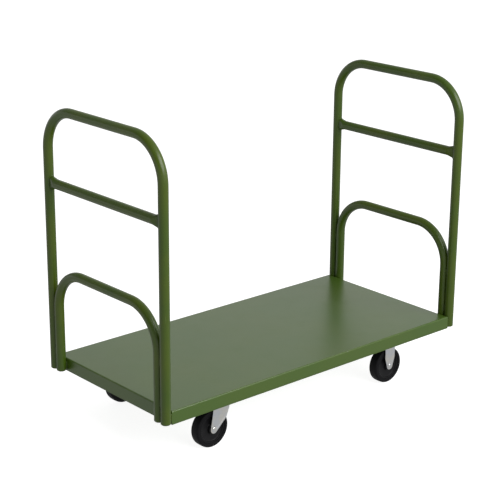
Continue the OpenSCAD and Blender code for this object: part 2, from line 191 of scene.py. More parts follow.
# %% Wrap a socket, and build a material from it
class Wire:
    """One output socket of a finish, with arithmetic on its value."""

    def __init__(self, finish, socket):
        self.finish = finish
        self.socket = socket

    def maths(self, operation, *values):
        return self.finish.node(
            "ShaderNodeMath", {"operation": operation}, dict(enumerate(values))
        )

    def __add__(self, other):
        return self.maths("ADD", self, other)

    def __radd__(self, other):
        return self.maths("ADD", other, self)

    def __sub__(self, other):
        return self.maths("SUBTRACT", self, other)

    def __rsub__(self, other):
        return self.maths("SUBTRACT", other, self)

    def __mul__(self, other):
        return self.maths("MULTIPLY", self, other)

    def __rmul__(self, other):
        return self.maths("MULTIPLY", other, self)

    def __abs__(self):
        return self.maths("ABSOLUTE", self)

    def step(self, low, high):
        """0 below low, 1 above high, and a soft step between them."""
        return self.finish.node(
            "ShaderNodeMapRange",
            {"interpolation_type": "SMOOTHSTEP"},
            {"Value": self, "From Min": low, "From Max": high},
        )


class Finish:
    """A material under construction. Its coordinates are the cart's own, in millimetres."""

    def __init__(self, name):
        self.material = bpy.data.materials.new(name)
        self.material.use_nodes = True
        self.tree = self.material.node_tree
        self.shader = self.tree.nodes["Principled BSDF"]
        metres = self.node("ShaderNodeTexCoord", output="Object")
        self.at = self.node(
            "ShaderNodeVectorMath", {"operation": "SCALE"}, {0: metres, "Scale": 1 / MM}
        )
        self.place(self.at)

    def place(self, at):
        """Splits a place or a direction into x, y and z."""
        split = self.node("ShaderNodeSeparateXYZ", {}, {0: at}).socket.node.outputs
        self.x, self.y, self.z = (Wire(self, split[k]) for k in range(3))

    def node(self, kind, settings=None, sockets=None, output=0):
        """Any node: its settings first, then the values or links of its sockets."""
        made = self.tree.nodes.new(kind)
        for name, value in (settings or {}).items():
            setattr(made, name, value)
        for key, value in (sockets or {}).items():
            self.feed(made.inputs[key], value)
        return Wire(self, made.outputs[output])

    def feed(self, socket, value):
        if isinstance(value, Wire):
            self.tree.links.new(value.socket, socket)
        elif socket.type == "RGBA":
            socket.default_value = (*value, 1)
        else:
            socket.default_value = value

    def noise(self, size, detail=2.0, stretch=(1, 1, 1), rough=0.5):
        """Cloudy noise with features about size millimetres across, longer by stretch."""
        where = self.node(
            "ShaderNodeVectorMath",
            {"operation": "MULTIPLY"},
            {0: self.at, 1: tuple(1 / (size * s) for s in stretch)},
        )
        return self.node(
            "ShaderNodeTexNoise",
            {},
            {"Vector": where, "Scale": 1.0, "Detail": detail, "Roughness": rough},
        )

    def mix(self, share, a, b):
        """Colour a turning into colour b as share goes from 0 to 1."""
        return self.node(
            "ShaderNodeMix", {"data_type": "RGBA"}, {0: share, 6: a, 7: b}, output=2
        )

    def done(self, height=None, depth=0.0, **sockets):
        """Feeds the shader, with height as a bump of that depth in millimetres."""
        for name, value in sockets.items():
            self.feed(self.shader.inputs[name.replace("_", " ")], value)
        if height is not None:
            raised = self.node(
                "ShaderNodeBump", {}, {"Strength": 1.0, "Distance": depth * MM, "Height": height}
            )
            self.feed(self.shader.inputs["Normal"], raised)
        print("finish", self.material.name, "has", len(self.tree.nodes), "nodes")
        return self.material


# %% [markdown]
# ## Green enamel on the tubes
#
# The handles are dipped or sprayed in a stoved enamel: a deep olive green with a gloss
# that is never quite flat. The skin of the paint has a fine pebble called orange peel,
# which blurs reflections. It is a bump of a few hundredths of a millimetre. Where hands
# and loads rub, the gloss is a little duller and the colour a little paler.

# %% Tube enamel
GREEN = (0.043, 0.090, 0.008)
GREEN_WARM = (0.049, 0.092, 0.007)
TUBE_GREEN = (0.039, 0.075, 0.004)
TUBE_OLIVE = (0.052, 0.083, 0.003)
# A paler green for rubbed paint. On the deck it also makes a painted highlight along the fold.
PALE_GREEN_WEAR_AND_HIGHLIGHT = (0.105, 0.15, 0.05)
GREEN_SHADED = (0.030, 0.056, 0.005)
PRIMER = (0.16, 0.155, 0.14)


def enamel_skin(finish, size):
    """The pebbled skin of sprayed paint, as a height from 0 to 1."""
    return finish.noise(size, 2.0) * 0.8 + finish.noise(size * 0.4, 1.0) * 0.2


def tube_enamel():
    paint = Finish("green_enamel")
    cloud = paint.noise(160, 3.0).step(0.35, 0.65)
    tone = paint.mix(cloud, TUBE_GREEN, TUBE_OLIVE)
    handled = paint.z.step(960, 1040) * paint.noise(60, 3.0).step(0.45, 0.7)
    scrape = paint.noise(2.2, 2.0, stretch=(1, 1, 22)).step(0.69, 0.74)
    scrape = scrape * paint.noise(85, 2.0).step(0.52, 0.62)
    tone = paint.mix(scrape * 0.55 + handled * 0.1, tone, PALE_GREEN_WEAR_AND_HIGHLIGHT)
    skin = enamel_skin(paint, 2.6)
    rough = paint.noise(45, 3.0) * 0.12 + 0.28 + scrape * 0.25 + handled * 0.08
    return paint.done(
        height=skin - scrape * 0.4, depth=0.05, Base_Color=tone, Roughness=rough,
        Specular_IOR_Level=0.3, Coat_Weight=0.2, Coat_Roughness=0.25,
    )


green_enamel = tube_enamel()

# %% [markdown]
# ## Enamel on the deck
#
# The deck has the same paint on sheet steel. Sheet is never quite flat, so its
# reflections swim: a very wide, very low wave in the bump does that. Boxes that are
# slid on and off leave fine scratches along the cart, and the paint is thin and chipped
# along the folded edge. The paler band along the fold is partly that worn paint and
# partly a painted highlight of the bend. The edge is found from the coordinates alone.

# %% Deck enamel
deck_half_l = (deck_high.x - deck_low.x) / 2 / MM
deck_half_w = (deck_high.y - deck_low.y) / 2 / MM
deck_top_mm = deck_high.z / MM
deck_foot_mm = deck_low.z / MM


def deck_enamel_finish():
    paint = Finish("deck_enamel")
    cloud = paint.noise(240, 3.0).step(0.3, 0.7)
    tone = paint.mix(cloud, GREEN, GREEN_WARM)
    top = paint.z.step(deck_top_mm - 1.5, deck_top_mm - 0.2)
    slid = paint.noise(1.7, 2.0, stretch=(70, 1, 1)).step(0.68, 0.74)
    slid = slid * paint.noise(190, 2.0).step(0.45, 0.6) * top
    crossed = paint.noise(1.5, 2.0, stretch=(1, 45, 1)).step(0.70, 0.75)
    crossed = crossed * paint.noise(140, 2.0, stretch=(1, 1, 2)).step(0.55, 0.66) * top
    side = abs(paint.y).step(deck_half_w - 4.5, deck_half_w - 1.5)
    end = abs(paint.x).step(deck_half_l - 4.5, deck_half_l - 1.5)
    fold = side.maths("MAXIMUM", side, end) * paint.z.step(deck_top_mm - 5, deck_top_mm - 2)
    chips = fold * paint.noise(7, 3.0).step(0.66, 0.69) * paint.noise(120).step(0.48, 0.55)
    dust = paint.noise(90, 4.0).step(0.45, 0.8) * top
    # Painted shade: the lowest few millimetres of the skirts are darkened towards GREEN_SHADED.
    foot = 1 - paint.z.step(deck_foot_mm + 1, deck_foot_mm + 9)
    tone = paint.mix(foot * 0.3, tone, GREEN_SHADED)
    # Painted highlight: a paler band along the fold stands in for the light on the bend. Its
    # cloudy part is also rubbed paint.
    fold_wear_and_highlight = fold * paint.noise(28, 3.0).step(0.3, 0.7) * 0.16 + fold * 0.06
    tone = paint.mix(slid * 0.3 + crossed * 0.25 + dust * 0.07 + fold_wear_and_highlight, tone, PALE_GREEN_WEAR_AND_HIGHLIGHT)
    tone = paint.mix(chips, tone, PRIMER)
    skin = enamel_skin(paint, 3.0) * 0.05 - slid * 0.02 - crossed * 0.02 - chips * 0.12
    wave = paint.noise(300, 1.0) * 0.25 * top
    rough = paint.noise(70, 3.0) * 0.08 + 0.28 + slid * 0.2 + dust * 0.06 + chips * 0.3
    return paint.done(
        height=skin + wave, depth=1.0, Base_Color=tone, Roughness=rough,
        Specular_IOR_Level=0.4, Coat_Weight=top * 0.3 + 0.25, Coat_Roughness=0.3,
    )


deck_enamel = deck_enamel_finish()

# %% [markdown]
# ## Zinc on the casters
#
# Pressed forks and plates are steel with a bright zinc plating. It is a metal, so its
# colour is in its reflection. The steel keeps faint rolling lines, the passivated zinc
# drifts between cool and warm, and handling leaves duller patches.

# %% Zinc, bolt and bearing finishes
ZINC_COOL = (0.60, 0.62, 0.65)
ZINC_WARM = (0.66, 0.65, 0.61)
ZINC_DULL = (0.44, 0.45, 0.46)
GROUND_STEEL = (0.56, 0.56, 0.57)


def zinc(name, rough, drift, line_size):
    metal = Finish(name)
    tone = metal.mix(metal.noise(drift, 3.0).step(0.35, 0.65), ZINC_COOL, ZINC_WARM)
    lines = metal.noise(line_size, 2.0, stretch=(1, 1, 18))
    blotch = metal.noise(9, 4.0).step(0.4, 0.8)
    tone = metal.mix(blotch * 0.25, tone, ZINC_DULL)
    return metal.done(
        height=lines * 0.5 + metal.noise(1.2, 2.0) * 0.5, depth=0.03, Base_Color=tone,
        Roughness=blotch * 0.16 + lines * 0.12 + rough, Metallic=1.0,
    )


zinc_plate = zinc("zinc_plate", 0.24, 26, 0.8)
bright_zinc = zinc("bright_zinc", 0.16, 11, 0.5)


def ground_steel():
    steel = Finish("bearing_steel")
    lines = steel.noise(0.4, 2.0, stretch=(1, 30, 1))
    return steel.done(
        height=lines, depth=0.008, Base_Color=GROUND_STEEL,
        Roughness=lines * 0.12 + 0.1, Metallic=1.0,
    )


bearing_steel = ground_steel()

# %% [markdown]
# ## Rubber and nylon
#
# The tyres are solid black rubber and the wheel centres are black nylon. Both are so
# dark that only their surface tells them apart: rubber is dull with a fine grain and
# picks up pale dust on the tread, and moulded nylon has a light spark-eroded texture
# with a soft shine.

# %% Rubber and nylon finishes
RUBBER_CLEAN = (0.004, 0.004, 0.0047)
RUBBER_DUSTY = (0.016, 0.0155, 0.015)
NYLON_DARK = (0.006, 0.006, 0.0068)
NYLON_FLOW = (0.009, 0.009, 0.0096)


def rubber():
    tyre = Finish("black_rubber")
    grain = tyre.noise(0.7, 3.0)
    dust = tyre.noise(14, 4.0).step(0.5, 0.85)
    tone = tyre.mix(dust * 0.3, RUBBER_CLEAN, RUBBER_DUSTY)
    return tyre.done(
        height=grain, depth=0.05, Base_Color=tone, Roughness=grain * 0.12 + 0.5 + dust * 0.15,
        Specular_IOR_Level=0.12,
    )


def nylon():
    moulded = Finish("black_nylon")
    grain = moulded.noise(0.5, 2.0)
    flow = moulded.noise(18, 3.0).step(0.4, 0.7)
    tone = moulded.mix(flow, NYLON_DARK, NYLON_FLOW)
    return moulded.done(
        height=grain, depth=0.035, Base_Color=tone, Roughness=flow * 0.1 + grain * 0.1 + 0.36,
        Specular_IOR_Level=0.15,
    )


black_rubber = rubber()
black_nylon = nylon()

# %% [markdown]
# ## Give the frame's nodes their finishes
#
# Where the mechanical model already has the right shape, it stays and only gets a
# better material. The record says which slot each node takes its finish from.

# %% Paint the nodes that stay
FINISHES = {
    "deck_enamel": deck_enamel,
    "green_enamel": green_enamel,
    "zinc_plate": zinc_plate,
    "bright_zinc": bright_zinc,
    "bearing_steel": bearing_steel,
    "black_nylon": black_nylon,
    "black_rubber": black_rubber,
}
slot_of = {part["node"]: part["material_slot"] for part in frame["record"]["subparts"]}
for name, node in nodes.items():
    for skin in node.material_slots:
        skin.material = FINISHES[slot_of[name]]
print(len(slot_of), "nodes painted")

# %% [markdown]
# ## Crossbars with flattened ends
#
# The crossbar is the same round tube as the handle, but its ends are squeezed in a
# press until they are taller than they are thick, and then welded to the legs. The
# mechanical model has this in flat facets. A loft through many sections gives the soft
# swelling of a pressed tube, and its last section follows the round of the leg.

# %% Loft the crossbars
def flattened(thick, high, count=48):
    """Pairs round a section with round ends: thick across, high up and down."""
    lift = (high - thick) / 2
    pairs = circle(thick / 2, count, math.pi / count)
    return [(a, b + math.copysign(lift, b)) for a, b in pairs]


def cope(x):
    """How far from the middle of the cart the surface of a leg is, x off its middle."""
    return leg_y - math.sqrt(tube_r**2 - min(abs(x), tube_r) ** 2)


def bar_section(share):
    """The crossbar's section as it flattens, share going from 0 to 1."""
    thick = between(2 * tube_r, bar_end_t, share)
    return flattened(thick, between(2 * tube_r, bar_end_h, share))


STATIONS = 18
flare_start = leg_y - bar_flare_l
flare_end = leg_y - tube_r
for end, name in ((-1, "rear"), (1, "front")):
    centre = Vector((end * handle_x, 0, crossbar_z))
    rings = []
    for side in (-1, 1):
        order = range(STATIONS + 1) if side > 0 else range(STATIONS, -1, -1)
        for k in order:
            share = k / STATIONS
            y = between(flare_start, flare_end, share)
            ring = []
            for a, b in bar_section(eased(share)):
                reach = y + (cope(a) - flare_end + 0.6 * MM) * share**3
                ring.append(centre + Vector((a, side * reach, b)))
            rings.append(ring)
    bar = Shape()
    bar.skin(rings)
    made = bar.piece(name + "_crossbar_pressed", green_enamel, "chassis", "green_enamel")
    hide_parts(name + "_crossbar")

# %% [markdown]
# ## Weld beads
#
# Each joint of the frame is welded, then painted over. A bead is a low cord with small
# ripples where the puddle froze. Drawing the ripple in the shape, not only in the
# bump, lets it catch the light at its edge. The wobble comes from a seeded generator,
# so every run gives the same bead.


# %% Run a bead along a path
RIPPLE = 2.3 * MM


def bead(shape, path, r, across, loop=False, seed=1):
    """A rippled cord along a path of points. across is one direction off the path."""
    wobble = random.Random(seed)
    count = len(path)
    length = 0.0
    rings = []
    for i, point in enumerate(path):
        following = path[(i + 1) % count] if loop or i + 1 < count else point
        behind = path[i - 1] if loop or i > 0 else point
        along = (following - behind).normalized()
        length += (point - path[i - 1]).length if i else 0
        side = (across - along * across.dot(along)).normalized()
        other = along.cross(side)
        ripple = 0.90 + 0.12 * abs(math.sin(math.pi * length / RIPPLE))
        taper = 1.0 if loop else min(1.0, 0.35 + 0.65 * min(i, count - 1 - i) / 3)
        size = r * ripple * taper * wobble.uniform(0.95, 1.05)
        rings.append([point + side * a + other * b for a, b in circle(size, 10)])
    shape.skin(rings, loop=loop)


def line(start, stop, step=0.7 * MM):
    """Points along a straight line, a step apart."""
    start, stop = Vector(start), Vector(stop)
    count = max(2, round((stop - start).length / step))
    return [start.lerp(stop, k / count) for k in range(count + 1)]


UP = Vector((0, 0, 1))

# %% [markdown]
# ## Where a crossbar meets its legs
#
# The bead follows the outline of the bar's squeezed end. Each point of that outline is
# pushed out to the round surface of the leg, which is the saddle that a welder follows.

# %% Weld the crossbars to the legs
for end, name in ((-1, "rear"), (1, "front")):
    welds = Shape()
    for side in (-1, 1):
        centre = Vector((end * handle_x, 0, crossbar_z))
        rim = flattened(bar_end_t + 1.4 * MM, bar_end_h + 1.4 * MM, 132)
        path = [centre + Vector((a, side * (cope(a) - 0.9 * MM), b)) for a, b in rim]
        bead(welds, path, 1.9 * MM, Vector((0, side, 0)), loop=True, seed=10 + side)
    welds.piece(name + "_crossbar_welds", green_enamel, "chassis", "green_enamel")

# %% [markdown]
# ## How the legs meet the deck
#
# The legs and the hoop stand against the end skirts and are welded down both open
# sides. The hoop touches the handle leg, so short stitches hold the two tubes together.
# The corners of the skirts are bent up and welded, with only a thin seam to be seen.

# %% Weld the legs, the hoops and the deck corners
leg_weld_top = deck_high.z - bend_r - 3 * MM
leg_weld_foot = leg_end + 4 * MM
for end, name in ((-1, "rear"), (1, "front")):
    face = end * deck_half_l * MM
    welds = Shape()
    for side in (-1, 1):
        for y, off, r in ((leg_y, 8.0 * MM, 2.0 * MM), (hoop_leg_y, -9.5 * MM, 2.6 * MM)):
            at = side * (y + off)
            path = line((face + end * 1.2 * MM, at, leg_weld_foot),
                        (face + end * 1.2 * MM, at, leg_weld_top))
            bead(welds, path, r, Vector((end, 0, 0)), seed=round(30 + side + y * 100))
        seam_y = side * (leg_y + hoop_leg_y) / 2
        for low in (deck_high.z + 14 * MM, hoop_high.z - tube_r - 165 * MM):
            for out in (-1, 1):
                x = end * handle_x + out * 7.6 * MM
                path = line((x, seam_y, low), (x, seam_y, low + 24 * MM))
                bead(welds, path, 2.1 * MM, Vector((out, 0, 0)), seed=50 + out)
    welds.piece(name + "_leg_welds", green_enamel, "chassis", "green_enamel")

seams = Shape()
for end in (-1, 1):
    for side in (-1, 1):
        corner = Vector((end * deck_half_l * MM, side * deck_half_w * MM, 0))
        corner -= Vector((end, side, 0)) * 0.45 * MM
        path = line(corner + UP * (deck_low.z + 1 * MM), corner + UP * (deck_high.z - bend_r))
        bead(seams, path, 1.15 * MM, Vector((end, side, 0)), seed=70 + end + 3 * side)
seams.piece("deck_corner_seams", deck_enamel, "chassis", "deck_enamel")

# %% [markdown]
# ## Stitches under the deck
#
# The channels that carry the casters, and the rib between them, are held by short
# stitches. A seam along their whole length would buckle the sheet. The same bead helper
# draws them, half sunk into the corner that each one fills.

# %% Stitch the channels and the rib under the deck
under = deck_high.z - sheet_t
stitches = Shape()
for name in ("rear_caster_channel", "front_caster_channel"):
    low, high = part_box(name)
    for x, out in ((low.x, -1), (high.x, 1)):
        for k in (-2, -1, 1, 2):
            y = k * high.y * 0.38
            path = line((x + out * 0.8 * MM, y - 16 * MM, under - 0.8 * MM),
                        (x + out * 0.8 * MM, y + 16 * MM, under - 0.8 * MM))
            bead(stitches, path, 2.0 * MM, UP, seed=90 + k)
low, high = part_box("centre_rib")
for y, out in ((low.y, -1), (high.y, 1)):
    for k in range(-3, 4):
        x = k * high.x * 0.29
        path = line((x - 15 * MM, y + out * 0.8 * MM, under - 0.8 * MM),
                    (x + 15 * MM, y + out * 0.8 * MM, under - 0.8 * MM))
        bead(stitches, path, 2.0 * MM, UP, seed=120 + k)
stitches.piece("under_deck_stitches", green_enamel, "chassis", "green_enamel")

# %% [markdown]
# ## Tyres
#
# A solid tyre is moulded in two halves. That leaves a thin parting line round the
# middle of the tread, a slight crown, a bead ring against the rim and a shallow step
# on each wall. All of these are turned from one profile.

# %% Turn the tyres
tyre_inner = 48.5 * MM
SHOULDER_R = 6.6


def tyre_profile():
    """Pairs of radius and width across, round a closed section."""
    wall = [
        (tyre_inner + 0.1 * MM, 14.6), (tyre_inner + 0.1 * MM, 16.2),
        (tyre_inner + 0.5 * MM, 17.0), (tyre_inner + 1.4 * MM, 17.5),
        (tyre_inner + 2.6 * MM, 17.5), (tyre_inner + 3.1 * MM, 17.0),
        (tyre_inner + 3.7 * MM, 17.0), (tyre_inner + 4.2 * MM, 17.7),
        (tyre_inner + 6.0 * MM, 17.9), (tyre_inner + 8.2 * MM, 17.9),
    ]
    shoulder = []
    reach = wheel_r - 0.5 * MM - SHOULDER_R * MM
    for k in range(1, 12):
        a = math.radians(90 * k / 12)
        shoulder.append((reach + SHOULDER_R * MM * math.sin(a), 11.3 + SHOULDER_R * math.cos(a)))
    tread = [(wheel_r - 0.45 * MM, 11.0), (wheel_r - 0.2 * MM, 7.0), (wheel_r - 0.08 * MM, 3.0),
             (wheel_r - 0.05 * MM, 0.55), (wheel_r, 0.35)]
    half = [(r, h * MM) for r, h in wall + shoulder + tread]
    return half + [(r, -h) for r, h in reversed(half)]


for wheel in WHEELS:
    tyre = Shape()
    tyre.skin(turned(tyre_profile(), axle[wheel], "y", 128), loop=True)
    made = tyre.piece(wheel + "_tyre_moulded", black_rubber, wheel + "_wheel", "black_rubber")
    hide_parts(wheel + "_tyre")

# %% [markdown]
# ## Wheel centres
#
# The wheel centre is one nylon moulding: a hub, a thick plain web and the band that
# carries the tyre. A moulding has no sharp inside corners, so the web runs into the hub
# and the band through fillets, and the hub tapers a little towards its face.

# %% Turn the wheel centres
hub_low, hub_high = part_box("front_left_rim")
hub_half = (hub_high.y - hub_low.y) / 2 / MM


def centre_profile():
    """Pairs of radius and width across, from the bore out over the web and back."""
    face = [(11.15, hub_half - 0.5), (11.6, hub_half), (16.3, hub_half), (16.8, hub_half - 0.4),
            (17.2, 13.2), (17.7, 11.4), (18.7, 10.4), (20.4, 10.0), (30.0, 9.6), (39.8, 10.0),
            (41.8, 10.5), (42.9, 11.5), (43.4, 13.0), (43.6, 14.4), (44.2, 15.0), (47.9, 15.0),
            (48.4, 14.5)]
    half = [(r * MM, h * MM) for r, h in face]
    return half + [(r, -h) for r, h in reversed(half)]


for wheel in WHEELS:
    centre = Shape()
    centre.skin(turned(centre_profile(), axle[wheel], "y", 112), loop=True)
    made = centre.piece(wheel + "_rim_moulded", black_nylon, wheel + "_wheel", "black_nylon")
    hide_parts(wheel + "_rim")

# %% [markdown]
# ## Pressed forks
#
# A fork is one strip of sheet bent into a U: up one leg, over the crown and down the
# other. So it is drawn the way it is made. A path runs along the strip, and at each
# step a ring goes round the strip's section, from its rear edge to its front edge and
# back on the inside. Each leg narrows to a round tip, its edges are slightly rounded,
# and its middle is pressed in a little, which leaves a raised border.


# %% The outline of a leg
def leg_edges(corners, tip_r):
    """The rear and front edges of a leg in (x, z) about its axle, in millimetres.

    corners runs from the top of the rear edge, over the crown, to the foot of the front
    edge. Both edges end on the round tip, which is drawn as part of the rear edge.
    """
    def touch(point, way):
        reach = math.hypot(*point)
        return math.atan2(point[1], point[0]) + way * math.acos(tip_r / reach)

    rear_corners, front_corners = corners
    start = touch(rear_corners[-1], 1)
    stop = touch(front_corners[-1], -1)
    bottom = -math.pi / 2
    rear_arc = [between(start, bottom + 2 * math.pi, k / 12) for k in range(13)]
    front_arc = [between(stop, bottom, k / 12) for k in range(13)]
    rear = list(rear_corners) + [(tip_r * math.cos(a), tip_r * math.sin(a)) for a in rear_arc]
    front = list(front_corners) + [(tip_r * math.cos(a), tip_r * math.sin(a)) for a in front_arc]
    return rear, front


def edge_x(edge, z):
    """Where an edge is at height z. Edges run from the top down."""
    for (x0, z0), (x1, z1) in zip(edge, edge[1:]):
        if z0 >= z >= z1:
            return x0 if z0 == z1 else between(x0, x1, (z0 - z) / (z0 - z1))
    return edge[0][0] if z > edge[0][1] else edge[-1][0]


def edge_distance(edges, x, z):
    """How far a point of the leg is from the nearest edge."""
    nearest = 1e9
    for edge in edges:
        for (x0, z0), (x1, z1) in zip(edge, edge[1:]):
            along_x, along_z = x1 - x0, z1 - z0
            size = along_x**2 + along_z**2
            if size > 0:
                t = min(max(((x - x0) * along_x + (z - z0) * along_z) / size, 0), 1)
                gap = math.hypot(x - x0 - t * along_x, z - z0 - t * along_z)
                nearest = min(nearest, gap)
    return nearest


# %% Press a fork out of its strip
FORK_T = 3
FORK_BEND = 5
EDGE_R = 1.0


def fork_rings(edges, tip_r, half, top, across):
    """Rings round the strip from one tip, over the crown, to the other tip."""
    heights = [-tip_r * math.cos(math.radians(a)) for a in range(9, 90, 8)]
    straight = top - FORK_BEND
    count = round(straight / 1.9)
    heights += [straight * k / count for k in range(count + 1)]
    path = [(1, z, 0) for z in heights]
    path += [(1, straight, math.radians(a)) for a in range(15, 91, 15)]
    first_leg = list(path)
    path += [(share, straight, math.pi / 2) for share in (0.6, 0.2, -0.2, -0.6)]
    path += [(-side, z, bend) for side, z, bend in reversed(first_leg)]
    rings = []
    for side, z, bend in path:
        way = math.copysign(1, side)
        out, lift = math.cos(bend) * way, math.sin(bend)
        y = side * (half - FORK_BEND)
        rear, front = (edge_x(edge, z) for edge in edges)
        fade = eased((straight - 8 - z) / 9)
        ring = []
        for skin, share in across:
            x = between(rear, front, share)
            gap = edge_distance(edges, x, z) if bend == 0 else min(x - rear, front - x)
            drop = EDGE_R - math.sqrt(EDGE_R**2 - max(EDGE_R - gap, 0) ** 2)
            if skin == "outer":
                depth = drop + eased((gap - 3.8) / 3.4) * fade
            else:
                depth = FORK_T - drop
            reach = FORK_BEND - depth
            ring.append(Vector((x, y + out * reach, z + lift * reach)) * MM)
        rings.append(ring)
    return rings


OUTER = [("outer", 0.5 - 0.5 * math.cos(math.pi * k / 30)) for k in range(31)]
INNER = [("inner", 0.5 - 0.5 * math.cos(math.pi * k / 14)) for k in range(14, -1, -1)]
ACROSS = OUTER + INNER


def cut_hole(piece, centre, r, low, high):
    """Cuts an upright round hole through a piece."""
    drill = Shape()
    drill.skin(turned([(r, low), (r, high)], centre, "z", 48))
    mesh = bpy.data.meshes.new("drill")
    mesh.from_pydata([tuple(p) for p in drill.points], [], drill.faces)
    tool = bpy.data.objects.new("drill", mesh)
    scene.collection.objects.link(tool)
    hole = piece.modifiers.new("hole", "BOOLEAN")
    hole.operation, hole.object = "DIFFERENCE", tool
    shown = piece.evaluated_get(bpy.context.evaluated_depsgraph_get())
    cut = bpy.data.meshes.new_from_object(shown)
    piece.modifiers.clear()
    piece.data = cut
    bpy.data.objects.remove(tool)


# %% Press the four forks
FORK_HALF = 24.5
PLATE_T = 3 * MM
SWIVEL_TIP_R, FIXED_TIP_R = 13.5, 13
crown_top = 147 * MM
trail = abs(middle("rear_left_kingpin").x - axle["rear_left"].x)
swivel_top = (crown_top - wheel_r) / MM
offset = trail / MM
SWIVEL_EDGES = leg_edges(
    (((offset - 33, swivel_top),),
     ((offset + 33, swivel_top), (offset + 28, swivel_top - 24), (offset + 16, 29))),
    SWIVEL_TIP_R)
fixed_top = (plate_high.z - PLATE_T / 2 - wheel_r) / MM
FIXED_EDGES = leg_edges(
    (((-23, fixed_top), (-23, 31)), ((23, fixed_top), (23, 31))), FIXED_TIP_R)


BALL_RING_R, BALL_Z, GROOVE_R = 20, 151.5, 3.05


def race(shape, centre):
    """The crown's disc and the lower race, with a groove for the balls."""
    disc = ((6.1, 144.2), (27.4, 144.2), (28, 144.7), (28, 146.5), (27.6, 146.9), (6.1, 146.9))
    shape.skin(turned([(r * MM, h * MM) for r, h in disc], centre, "z", 72), loop=True)
    groove = []
    for k in range(9):
        a = math.radians(between(-9.5, -170.5, k / 8))
        groove.append((BALL_RING_R + GROOVE_R * math.cos(a), BALL_Z + GROOVE_R * math.sin(a)))
    ring = [(25, 146.6), (25, 150.6), (24.6, 151), *groove,
            (15.4, 151), (15, 150.6), (15, 146.6)]
    shape.skin(turned([(r * MM, h * MM) for r, h in ring], centre, "z", 72), loop=True)


PLATE_CORNER = 8


def mounting_plate(shape, centre, low, high):
    """A plate with round corners and slightly rounded edges."""
    half_x, half_y = (high.x - low.x) / 2, (high.y - low.y) / 2
    rings = []
    for inset, z in ((0.5, low.z), (0, low.z + 0.5 * MM), (0, high.z - 0.5 * MM), (0.5, high.z)):
        ring = []
        for sx, sy, turn_by in ((1, 1, 0), (-1, 1, 90), (-1, -1, 180), (1, -1, 270)):
            for k in range(9):
                a = math.radians(turn_by + 90 * k / 8)
                r = (PLATE_CORNER - inset) * MM
                x = centre.x + sx * (half_x - PLATE_CORNER * MM) + r * math.cos(a)
                y = centre.y + sy * (half_y - PLATE_CORNER * MM) + r * math.sin(a)
                ring.append(Vector((x, y, z)))
        rings.append(ring)
    shape.skin(rings)


for wheel in WHEELS:
    swivels = wheel.startswith("rear")
    fork = Shape()
    if swivels:
        rings = fork_rings(SWIVEL_EDGES, SWIVEL_TIP_R, FORK_HALF, swivel_top, ACROSS)
    else:
        rings = fork_rings(FIXED_EDGES, FIXED_TIP_R, FORK_HALF, fixed_top, ACROSS)
    fork.skin([[axle[wheel] + point for point in ring] for ring in rings])
    at = Vector((axle[wheel].x, axle[wheel].y, 0))
    if swivels:
        pivot = at + Vector((trail, 0, 0))
        race(fork, pivot)
        made = fork.piece(wheel + "_fork_pressed", zinc_plate, wheel + "_swivel", "zinc_plate")
        cut_hole(made, pivot, 6.06 * MM, crown_top - 8 * MM, crown_top + 1 * MM)
    else:
        plate_foot = Vector((plate_low.x, plate_low.y, plate_high.z - PLATE_T))
        mounting_plate(fork, at, plate_foot, plate_high)
        made = fork.piece(wheel + "_fork_pressed", zinc_plate, "chassis", "zinc_plate")
    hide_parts(wheel + "_fork")

# %% [markdown]
# ## Bolts and nuts
#
# A plain hexagonal prism gives a bolt away at once: a real head is a prism cut by a
# cone, so its corners are rounded off in six arcs. Here each ring of the head is the
# smaller of the hexagon and a circle that grows down the cone. The thread is a true
# helix, made by shifting a saw-tooth round each ring.


# %% Heads, nuts and threads
def hexagon(flats, limit, count=60):
    """Pairs round a hexagon whose corners are cut back to a circle."""
    pairs = []
    for k in range(count):
        a = 2 * math.pi * k / count
        reach = flats / 2 / math.cos((a + math.pi / 6) % (math.pi / 3) - math.pi / 6)
        reach = min(reach, limit)
        pairs.append((reach * math.cos(a), reach * math.sin(a)))
    return pairs


def set_out(base, axis, a, b, h):
    """A point h along an axis from base, and a and b across it."""
    if axis == "z":
        return base + Vector((a, b, h))
    return base + Vector((a, h, b))


def hex_block(shape, base, axis, flats, start, stop):
    """A hexagonal block between two heights, chamfered at both ends."""
    cone = [(depth * flats * 0.55, flats / 2 * (0.95 + depth * 0.95))
            for depth in (0.0, 0.05, 0.10, 0.16, 0.24)]
    far_cone = [(stop - start - depth, limit) for depth, limit in reversed(cone)]
    skin = []
    for depth, limit in cone + far_cone:
        skin.append([set_out(base, axis, a, b, start + depth)
                     for a, b in hexagon(flats, limit)])
    shape.skin(skin)


def thread(shape, base, axis, r, start, stop, pitch):
    """A threaded end between two heights, with a chamfered tip at stop."""
    count = 24
    depth = pitch * 0.45
    steps = max(4, round(abs(stop - start) / pitch * 5))
    rings = []
    for i in range(steps + 1):
        h = between(start, stop, i / steps)
        tip = max(0.0, 1 - abs(stop - h) / (1.3 * pitch)) * depth * 1.3
        ring = []
        for k in range(count):
            turn_share = (h / pitch + k / count) % 1
            tooth = abs(2 * turn_share - 1) * depth
            reach = min(r - tooth, r - tip)
            a = 2 * math.pi * k / count
            ring.append(set_out(base, axis, reach * math.cos(a), reach * math.sin(a), h))
        rings.append(ring)
    shape.skin(rings)


